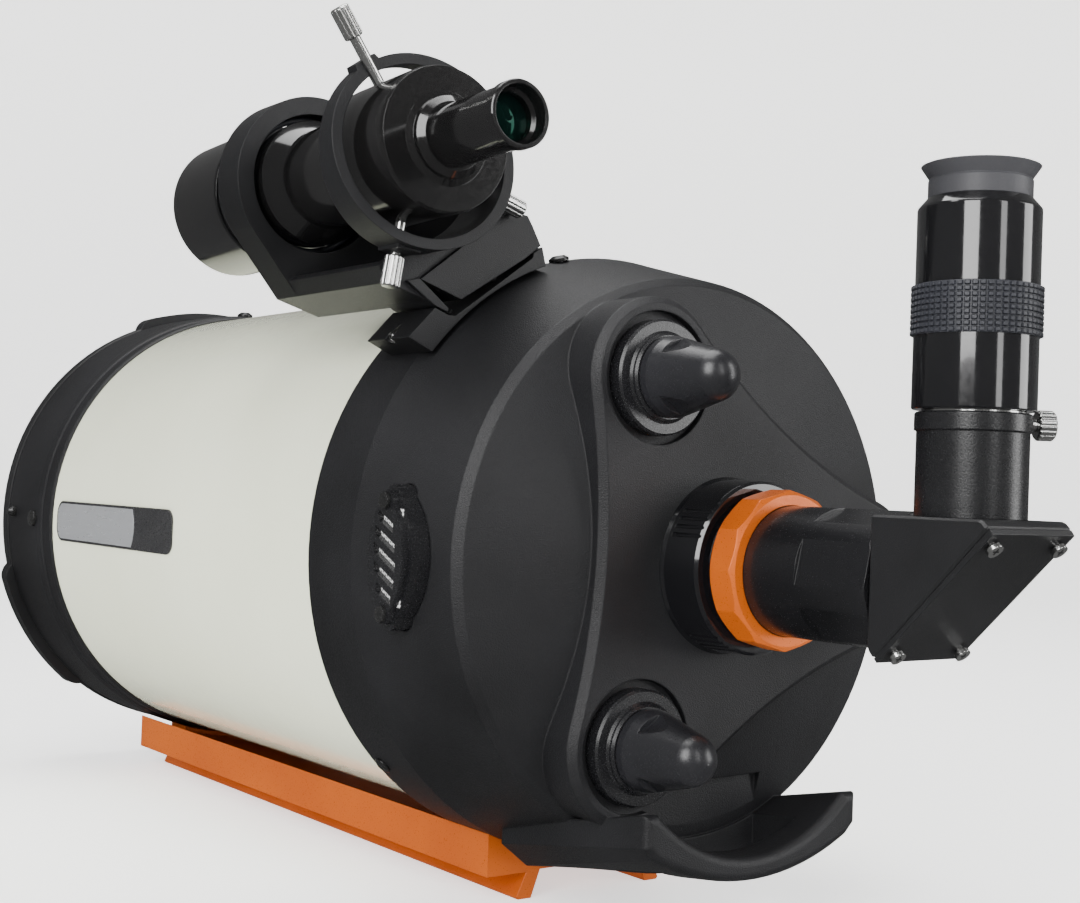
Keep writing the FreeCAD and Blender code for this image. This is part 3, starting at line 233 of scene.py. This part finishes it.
def make_finishes():
    """Every finish by the record's slot name."""
    finishes = {}
    finishes["tube_enamel"] = surface("tube_enamel", (0.61, 0.63, 0.49), (0.66, 0.68, 0.54), (0.14, 0.22),
                                      (260, 0.00001), gloss_coat=0.6, coat_rough=0.04, patch=9.0)
    finishes["cell_powder"] = surface("cell_powder", (0.0045, 0.0045, 0.0052), (0.0085, 0.0085, 0.0098),
                                      (0.38, 0.60), (2100, 0.00022), specular=0.42, edge=0.0010)
    finishes["finder_casting"] = surface("finder_casting", (0.004, 0.004, 0.0045), (0.007, 0.007, 0.008),
                                         (0.36, 0.55), (2300, 0.00016), specular=0.42, edge=0.0006)
    finishes["cover_plastic"] = surface("cover_plastic", (0.005, 0.005, 0.0055), (0.009, 0.009, 0.010),
                                        (0.42, 0.58), (1500, 0.00012), specular=0.4, edge=0.0008)
    finishes["matte_black"] = surface("matte_black", (0.006, 0.006, 0.006), (0.010, 0.010, 0.010), (0.5, 0.65),
                                      (2000, 0.00005))
    finishes["baffle_black"] = surface("baffle_black", (0.004, 0.004, 0.004), (0.007, 0.007, 0.007),
                                       (0.7, 0.85), (1500, 0.00005))
    finishes["trim_black"] = surface("trim_black", (0.004, 0.004, 0.0045), (0.008, 0.008, 0.009), (0.22, 0.34),
                                     (1600, 0.000005), edge=0.0)
    finishes["gloss_anodised"] = surface("gloss_anodised", (0.003, 0.003, 0.0035), (0.005, 0.005, 0.006),
                                         (0.08, 0.16), (900, 0.000004), gloss_coat=0.5, edge=0.0003)
    finishes["satin_anodised"] = surface("satin_anodised", (0.004, 0.004, 0.0045), (0.007, 0.007, 0.008),
                                         (0.20, 0.28), (1500, 0.000004), specular=0.6, edge=0.0003)
    finishes["orange_anodised"] = surface("orange_anodised", (0.43, 0.078, 0.003), (0.52, 0.105, 0.005),
                                          (0.26, 0.38), (1800, 0.00004), metallic=0.35, edge=0.0005)
    finishes["plain_aluminium"] = surface("plain_aluminium", (0.55, 0.55, 0.54), (0.66, 0.66, 0.65),
                                          (0.25, 0.4), (1200, 0.00002), metallic=1.0)
    finishes["badge_plate"] = surface("badge_plate", (0.40, 0.41, 0.43), (0.50, 0.51, 0.53), (0.26, 0.38),
                                      (900, 0.00001), metallic=0.7, stretch=(1, 0.08, 1))
    finishes["vent_mesh"] = woven("vent_mesh")
    finishes["dark_screw"] = surface("dark_screw", (0.02, 0.02, 0.02), (0.035, 0.035, 0.035), (0.22, 0.35),
                                     (1500, 0.00002), metallic=0.7)
    finishes["bright_steel"] = surface("bright_steel", (0.60, 0.60, 0.59), (0.75, 0.75, 0.73), (0.14, 0.28),
                                       (1500, 0.00002), metallic=1.0)
    finishes["brass"] = surface("brass", (0.62, 0.44, 0.16), (0.72, 0.53, 0.22), (0.2, 0.35), (1200, 0.00002),
                                metallic=1.0)
    finishes["mirror_coating"] = surface("mirror_coating", (0.88, 0.89, 0.90), (0.92, 0.93, 0.94),
                                         (0.01, 0.03), (60, 0.0000005), metallic=1.0)
    finishes["knob_rubber"] = surface("knob_rubber", (0.006, 0.006, 0.0068), (0.011, 0.011, 0.013),
                                      (0.26, 0.36), (2000, 0.00002), edge=0.0005)
    finishes["grip_rubber"] = surface("grip_rubber", (0.010, 0.011, 0.014), (0.018, 0.019, 0.025),
                                      (0.42, 0.55), (2500, 0.00003), edge=0.0002)
    finishes["eyecup_rubber"] = surface("eyecup_rubber", (0.016, 0.016, 0.018), (0.028, 0.028, 0.032),
                                        (0.45, 0.6), (1800, 0.00004))
    finishes["finder_gloss"] = surface("finder_gloss", (0.0030, 0.0030, 0.0032), (0.0052, 0.0050, 0.0050),
                                       (0.10, 0.17), (700, 0.000004), gloss_coat=0.4, coat_rough=0.05)
    finishes["eyepiece_gloss"] = surface("eyepiece_gloss", (0.003, 0.003, 0.0035), (0.005, 0.005, 0.0055),
                                         (0.08, 0.14), (600, 0.000003), gloss_coat=0.6, coat_rough=0.03)
    finishes["holder_black"] = surface("holder_black", (0.005, 0.005, 0.0055), (0.009, 0.009, 0.010),
                                       (0.24, 0.34), (1800, 0.00005))
    finishes["diagonal_black"] = surface("diagonal_black", (0.005, 0.005, 0.0055), (0.009, 0.009, 0.010),
                                         (0.36, 0.50), (2600, 0.00010), edge=0.0004)
    finishes["corrector_glass"] = glass("corrector_glass", (0.93, 0.97, 0.96), 0.02)
    finishes["lens_glass"] = glass("lens_glass", (0.90, 0.95, 0.93), 0.01)
    finishes["coated_glass"] = coated_glass("coated_glass")
    return finishes


def glass(name, colour, rough):
    mat, nodes, links, shader = blank(name)
    haze = noise(nodes, links, 40.0, 3.0)
    links.new(span(nodes, links, haze, rough * 0.5, rough * 1.5), shader.inputs["Roughness"])
    shader.inputs["Base Color"].default_value = (*colour, 1)
    shader.inputs["Transmission Weight"].default_value = 0.85
    shader.inputs["IOR"].default_value = 1.5
    return mat


def coated_glass(name):
    """A lens whose coating throws back green; its near-black colour is painted shade from the dark inside of
    the finder.
    """
    mat, nodes, links, shader = blank(name)
    haze = noise(nodes, links, 60.0, 3.0)
    links.new(span(nodes, links, haze, 0.03, 0.07), shader.inputs["Roughness"])
    # Painted shade: the lens body colour stands for the dark inside of the finder, varied slightly by the
    # noise.
    links.new(tint(nodes, links, haze, (0.001, 0.003, 0.003), (0.002, 0.006, 0.005)),
              shader.inputs["Base Color"])
    shader.inputs["Specular IOR Level"].default_value = 0.35
    shader.inputs["Specular Tint"].default_value = (0.02, 0.38, 0.24, 1)
    shader.inputs["IOR"].default_value = 1.6
    return mat


def woven(name, pitch=0.0013):
    """Bright wires that cross at right angles, with painted shade in the gaps between them."""
    mat, nodes, links, shader = blank(name)
    where = nodes.new("ShaderNodeTexCoord")
    crossing = nodes.new("ShaderNodeMath")
    crossing.operation = "MAXIMUM"
    for index, way in enumerate(("Y", "Z")):
        wires = nodes.new("ShaderNodeTexWave")
        wires.wave_type = "BANDS"
        wires.bands_direction = way
        wires.inputs["Scale"].default_value = math.pi / 10 / pitch
        wires.inputs["Distortion"].default_value = 0.0
        links.new(where.outputs["Object"], wires.inputs["Vector"])
        links.new(wires.outputs["Fac"], crossing.inputs[index])
    # The dark colour is painted shade in the gaps through the mesh; the bright colour is the wire itself.
    links.new(tint(nodes, links, crossing.outputs[0], (0.10, 0.10, 0.10), (0.80, 0.80, 0.80)),
              shader.inputs["Base Color"])
    shader.inputs["Metallic"].default_value = 0.2
    shader.inputs["Roughness"].default_value = 0.35
    bump(nodes, links, crossing.outputs[0], 0.0003, shader)
    return mat


# ---------------------------------------------------------------- pieces

def on_tube(along, across, height):
    """A point on the left of the tube: across is measured round the curve, up from the middle."""
    radius = (TUBE_BOX[1].x - TUBE_BOX[0].x) / 2
    angle = across / radius
    return (-(radius + height) * math.cos(angle), along, AXIS_Z + (radius + height) * math.sin(angle))


def tube_patch(name, back, front, half, corner, height, hollow=0.0):
    """A thin plate that follows the tube, with round corners; hollow bows its back end inwards."""
    rows, columns = 28, 36
    bm = bmesh.new()
    grid = []
    for row in range(rows + 1):
        across = half * math.sin(math.pi / 2 * (2 * row / rows - 1))
        inset = 0.0
        if abs(across) > half - corner:
            inset = corner - math.sqrt(max(0.0, corner ** 2 - (abs(across) - half + corner) ** 2))
        low = back + (hollow * (1 - (across / half) ** 2) if hollow else inset)
        high = front - inset
        grid.append([bm.verts.new(on_tube(low + (high - low) * column / columns, across, height))
                     for column in range(columns + 1)])
    for lower, upper in zip(grid, grid[1:]):
        for column in range(columns):
            bm.faces.new((lower[column], lower[column + 1], upper[column + 1], upper[column]))
    rim = [edge for edge in bm.edges if edge.is_boundary]
    walls = bmesh.ops.extrude_edge_only(bm, edges=rim)
    for vert in (item for item in walls["geom"] if isinstance(item, bmesh.types.BMVert)):
        outward = Vector((vert.co.x, 0, vert.co.z - AXIS_Z)).normalized()
        vert.co -= outward * height
    item = mesh_object(name, bm)
    item.data.set_sharp_from_angle(angle=math.radians(35))
    return item


def badge(finishes):
    """A dark plate with a rim and a satin silver field over its front two thirds; no lettering."""
    low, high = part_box("side_badge")
    half = (high.z - low.z) / 2
    plate = tube_patch("badge_plate", low.y, high.y, half, 0.0065, 0.00070)
    dark = surface("badge_dark", (0.012, 0.012, 0.013), (0.020, 0.020, 0.021), (0.2, 0.3), (900, 0.00001))
    plate.data.materials.append(dark)
    field = tube_patch("badge_field", low.y + 0.0455, high.y - 0.0012, half - 0.0012, 0.0055, 0.00085,
                       hollow=-0.0035)
    field.data.materials.append(finishes["badge_plate"])
    for item in (plate, field):
        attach(item, "optical_tube")
    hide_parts("side_badge")


def grip(finishes):
    """The eyepiece's rubber band: nine rows of small square studs."""
    low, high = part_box("eyepiece_grip")
    middle = (low + high) / 2
    outer = (high.x - low.x) / 2
    inner, valley = outer - 0.0018, outer - 0.0008
    rows, columns = 9, 54
    steps = ((0.10, 0), (0.22, 1), (0.78, 1), (0.90, 0))
    turns = [((column + share) / columns, stud) for column in range(columns) for share, stud in steps]
    levels = [((row + share) / rows, stud) for row in range(rows) for share, stud in steps]
    bm = bmesh.new()

    def ring(height, radii):
        return [bm.verts.new((middle.x + radius * math.cos(math.tau * turn),
                              middle.y + radius * math.sin(math.tau * turn), height))
                for (turn, stud), radius in zip(turns, radii)]

    rings = [ring(low.z, [inner] * len(turns)), ring(low.z, [valley] * len(turns))]
    for level, stud in levels:
        rings.append(ring(low.z + (high.z - low.z) * level,
                          [outer if stud and side else valley for turn, side in turns]))
    rings += [ring(high.z, [valley] * len(turns)), ring(high.z, [inner] * len(turns))]
    for below, above in zip(rings, rings[1:] + rings[:1]):
        for index in range(len(turns)):
            after = (index + 1) % len(turns)
            bm.faces.new((below[index], below[after], above[after], above[index]))
    item = mesh_object("eyepiece_grip_studs", bm)
    item.data.set_sharp_from_angle(angle=math.radians(30))
    item.data.materials.append(finishes["grip_rubber"])
    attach(item, "eyepiece")
    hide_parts("eyepiece_grip")


def islands(node):
    """The vertices of each separate lump of a CAD node."""
    mesh = frame["nodes"][node].data
    tree = list(range(len(mesh.vertices)))

    def root(index):
        while tree[index] != index:
            tree[index] = tree[tree[index]]
            index = tree[index]
        return index

    places = {}
    for vert in mesh.vertices:
        place = tuple(round(value, 6) for value in vert.co)
        tree[root(vert.index)] = root(places.setdefault(place, vert.index))
    for edge in mesh.edges:
        tree[root(edge.vertices[0])] = root(edge.vertices[1])
    groups = {}
    for vert in mesh.vertices:
        groups.setdefault(root(vert.index), []).append(vert.co)
    return list(groups.values())


def painted_recess_shade(node, body, outward, arm, finish):
    """A dark cross laid on every screw head of a node, painted shade in place of a real recess; outward gives a
    head's direction.
    """
    bm = bmesh.new()
    thin = arm * 0.24
    outline = [(thin, thin), (arm, thin), (arm, -thin), (thin, -thin), (thin, -arm), (-thin, -arm),
               (-thin, -thin), (-arm, -thin), (-arm, thin), (-thin, thin), (-thin, arm), (thin, arm)]
    for points in islands(node):
        centre = sum(points, Vector()) / len(points)
        way = outward(centre).normalized()
        top = max((point - centre).dot(way) for point in points)
        face = centre + way * (top - 0.00012)
        turn = way.to_track_quat("Z", "Y").to_matrix()
        loops = [[bm.verts.new(face + turn @ Vector((x, y, lift))) for x, y in outline]
                 for lift in (0.0, 0.00016)]
        bm.faces.new(loops[1])
        for index in range(len(outline)):
            after = (index + 1) % len(outline)
            bm.faces.new((loops[0][index], loops[0][after], loops[1][after], loops[1][index]))
    item = mesh_object(node + "_recesses", bm)
    item.data.set_sharp_from_angle(angle=math.radians(30))
    item.data.materials.append(finish)
    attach(item, body)


def screw_recess_shade():
    """Painted shade in the shape of crossed recesses on the heads that face the viewer."""
    # Near-black paint that stands for the shade inside the screw recesses.
    finish = surface("recess_painted_shade", (0.003, 0.003, 0.003), (0.006, 0.006, 0.006), (0.5, 0.7), (1500, 0.00002),
                     edge=0.0)
    low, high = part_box("diagonal_plate")
    span_y, span_z = high.y - low.y, high.z - low.z
    painted_recess_shade("diagonal_plate_screws", "star_diagonal", lambda at: Vector((0, -span_z, -span_y)), 0.0013, finish)
    painted_recess_shade("vent_screws", "optical_tube", lambda at: Vector((at.x, 0, 0)), 0.0017, finish)
    painted_recess_shade("cell_screws", "optical_tube", lambda at: Vector((at.x, 0, at.z - AXIS_Z)), 0.0018, finish)


def dress_nodes(finishes):
    """Gives every CAD node its finish and smooth shading between its sharp edges."""
    slots = {entry["node"]: entry["material_slot"] for entry in frame["record"]["subparts"]}
    for name, node in frame["nodes"].items():
        node.data.materials.clear()
        node.data.materials.append(finishes[slots[name]])
        for face in node.data.polygons:
            face.use_smooth = True
        node.data.set_sharp_from_angle(angle=math.radians(32))


camera()
stage()
lights()
finishes = make_finishes()
dress_nodes(finishes)
badge(finishes)
grip(finishes)
screw_recess_shade()
